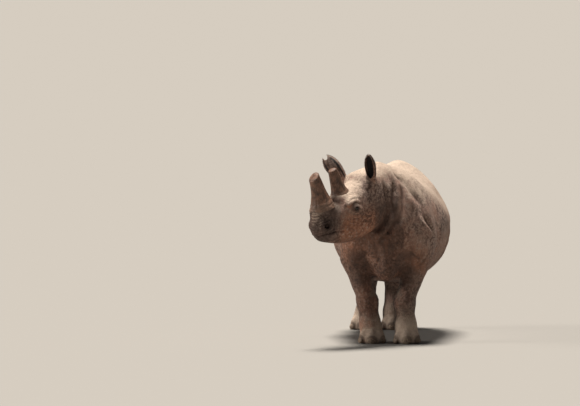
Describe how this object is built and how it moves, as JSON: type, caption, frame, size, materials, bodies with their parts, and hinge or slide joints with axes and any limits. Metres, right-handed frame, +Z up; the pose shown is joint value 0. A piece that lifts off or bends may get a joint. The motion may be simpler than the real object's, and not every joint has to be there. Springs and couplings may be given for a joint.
{
  "type": "black rhinoceros",
  "caption": "Standing black rhinoceros with a barrel body, its head raised and turned to its right, upright ears, a hooked upper lip and horns worn blunt.",
  "frame": {"origin": "on the floor, below the middle of the model's box", "axes": "+Z up; the animal faces -Y, its left side is +X; its body lies along Y"},
  "size_m": [1.1719, 2.4375, 1.6089],
  "materials": {
    "hide": "matte, dusty, wrinkled skin",
    "horn": "matte to satin, fibrous keratin",
    "nail": "matte keratin",
    "eye": "wet gloss"
  },
  "bodies": {
    "root": {"head": "hide", "lower_jaw": "hide", "neck": "hide", "trunk": "hide", "tail": "hide", "leg_fore_left": "hide", "leg_fore_right": "hide", "leg_hind_left": "hide", "leg_hind_right": "hide", "foot_fore_left": "hide", "foot_fore_right": "hide", "foot_hind_left": "hide", "foot_hind_right": "hide", "ear_left": "hide", "ear_right": "hide", "horn_front": "horn", "horn_rear": "horn", "eye_left": "eye", "eye_right": "eye", "nail_fore_left_1": "nail", "nail_fore_left_2": "nail", "nail_fore_left_3": "nail", "nail_fore_right_1": "nail", "nail_fore_right_2": "nail", "nail_fore_right_3": "nail", "nail_hind_left_1": "nail", "nail_hind_left_2": "nail", "nail_hind_left_3": "nail", "nail_hind_right_1": "nail", "nail_hind_right_2": "nail", "nail_hind_right_3": "nail"}
  },
  "joints": []
}
